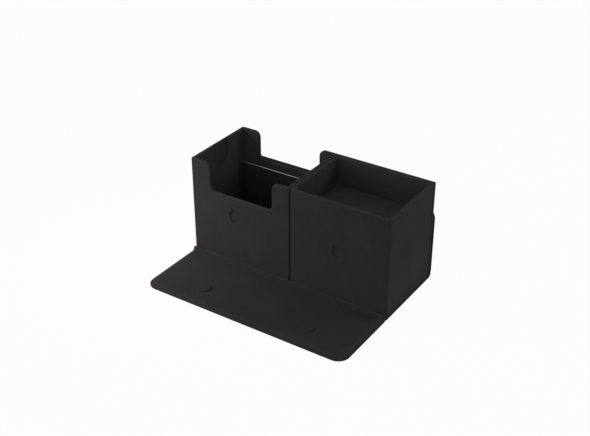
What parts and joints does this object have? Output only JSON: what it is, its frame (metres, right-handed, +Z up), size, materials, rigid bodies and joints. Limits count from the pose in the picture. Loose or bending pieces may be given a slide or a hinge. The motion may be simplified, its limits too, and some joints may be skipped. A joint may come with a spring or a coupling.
{
  "type": "playing card box",
  "caption": "Card box with an open, notched card bay, a side drawer with a lift-out tray, a clear pane and a detachable cover whose front flap lies flat.",
  "frame": {"origin": "on the underside of the cover's base, under the middle of the box", "axes": "+X to the drawer's end, +Y to the back, +Z up"},
  "size_m": [0.2302, 0.1725, 0.1092],
  "materials": {
    "outer_wrap": "solid greyboard wrapped in matte black microfibre with a fine leather-like grain",
    "cover_wrap": "solid greyboard wrapped in matte black microfibre, soft at the folds",
    "inner_wrap": "thin greyboard wrapped in black suede-like microfibre",
    "cover_lining": "black suede-like microfibre",
    "floor_lining": "black suede-like microfibre",
    "clear_plastic": "clear, polished sheet with cut edges",
    "magnet": "nickel-plated disc magnet"
  },
  "bodies": {
    "cover": {"cover_base": "cover_wrap", "base_lining": "cover_lining", "front_crease": "cover_wrap", "back_crease": "cover_wrap"},
    "front_flap": {"front_flap": "cover_wrap", "front_flap_lining": "cover_lining", "front_flap_magnets": "magnet"},
    "back_flap": {"back_flap": "cover_wrap", "back_flap_lining": "cover_lining", "back_flap_magnets": "magnet"},
    "card_box": {"shell_floor": "outer_wrap", "bay_pad": "floor_lining", "front_board": "outer_wrap", "front_liner": "inner_wrap", "left_board": "outer_wrap", "left_liner": "inner_wrap", "back_board": "outer_wrap", "back_liner": "inner_wrap", "partition": "inner_wrap", "partition_liner": "inner_wrap", "front_magnet": "magnet", "back_magnets": "magnet", "partition_magnet": "magnet"},
    "display_pane": {"display_pane": "clear_plastic"},
    "drawer": {"drawer_front": "outer_wrap", "drawer_right": "outer_wrap", "drawer_back": "outer_wrap", "drawer_left": "outer_wrap", "drawer_floor": "outer_wrap", "drawer_pad": "floor_lining", "neck_front": "inner_wrap", "neck_back": "inner_wrap", "neck_left": "inner_wrap", "neck_right": "inner_wrap", "drawer_front_magnet": "magnet", "drawer_catch_magnet": "magnet"},
    "tray": {"tray_floor": "inner_wrap", "tray_pad": "floor_lining", "tray_front": "inner_wrap", "tray_right": "inner_wrap", "tray_back": "inner_wrap", "tray_left": "inner_wrap"}
  },
  "joints": [
    {"name": "front_flap_fold", "type": "hinge", "parent": "cover", "child": "front_flap", "pos_m": [0, -0.04455, 0.003], "axis": [-1, 0, 0], "range_deg": [0, 90]},
    {"name": "back_flap_fold", "type": "hinge", "parent": "cover", "child": "back_flap", "pos_m": [0, 0.04455, 0.003], "axis": [-1, 0, 0], "range_deg": [0, 90]},
    {"name": "box_lift", "type": "slide", "parent": "cover", "child": "card_box", "axis": [0, 0, 1], "range_m": [0, 0.09]},
    {"name": "drawer_slide", "type": "slide", "parent": "card_box", "child": "drawer", "axis": [1, 0, 0], "range_m": [0, 0.11]},
    {"name": "tray_lift", "type": "slide", "parent": "drawer", "child": "tray", "axis": [0, 0, 1], "range_m": [0, 0.033]},
    {"name": "pane_lift", "type": "slide", "parent": "card_box", "child": "display_pane", "axis": [0, 0, 1], "range_m": [0, 0.103]}
  ]
}
